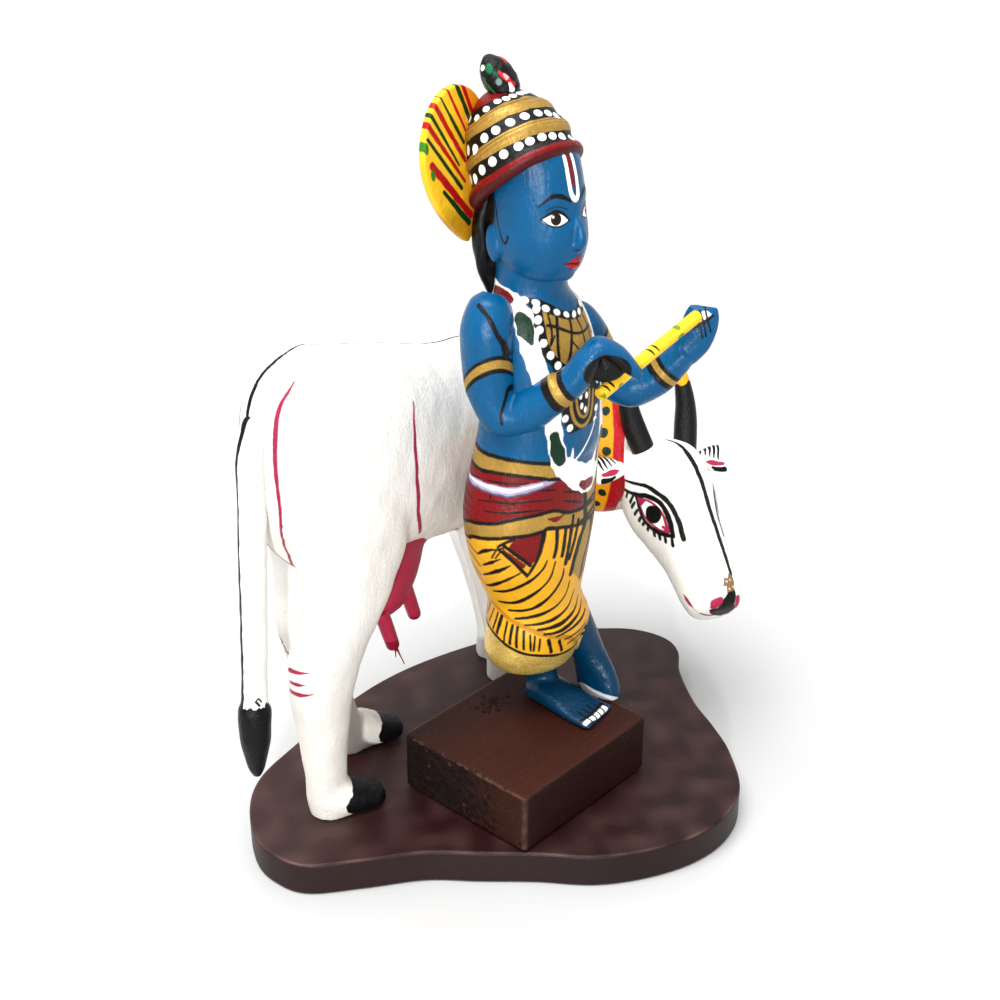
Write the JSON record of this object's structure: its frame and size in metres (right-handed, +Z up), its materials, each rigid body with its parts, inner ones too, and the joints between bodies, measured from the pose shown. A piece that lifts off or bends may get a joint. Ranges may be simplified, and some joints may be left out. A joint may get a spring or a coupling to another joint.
{
  "type": "painted wooden figure of a flute player with a cow",
  "caption": "Painted wooden toy of a blue flute player on a block, standing before a white cow on a shaped board.",
  "frame": {"origin": "middle of the board's flat underside, on the surface it stands on", "axes": "+Z up; the figure faces -Y; +X towards the cow's head"},
  "size_m": [0.1562, 0.1079, 0.1884],
  "materials": {
    "maroon_paint": "satin dark maroon paint on wood",
    "brown_paint": "satin chocolate brown paint, rough at the sawn ends",
    "blue_paint": "glossy blue enamel with gold, yellow, red, black and white painted dress",
    "yellow_paint": "glossy yellow enamel with painted lines",
    "dark_green_paint": "glossy black-green enamel with coloured dabs",
    "white_paint": "slightly rough white paint with black and crimson lines",
    "black_paint": "satin black paint with yellow tips",
    "crimson_paint": "satin crimson paint"
  },
  "bodies": {
    "root": {"base_board": "maroon_paint", "figure_block": "brown_paint", "krishna_figure": "blue_paint", "krishna_right_arm": "blue_paint", "krishna_left_arm": "blue_paint", "flute": "yellow_paint", "crest_fan": "yellow_paint", "crest_tuft": "dark_green_paint", "cow_body": "white_paint", "cow_right_horn": "black_paint", "cow_left_horn": "black_paint", "cow_right_ear": "white_paint", "cow_left_ear": "white_paint", "cow_tail": "white_paint", "cow_teat_1": "crimson_paint", "cow_teat_2": "crimson_paint", "cow_teat_3": "crimson_paint", "cow_teat_4": "crimson_paint"}
  },
  "joints": []
}
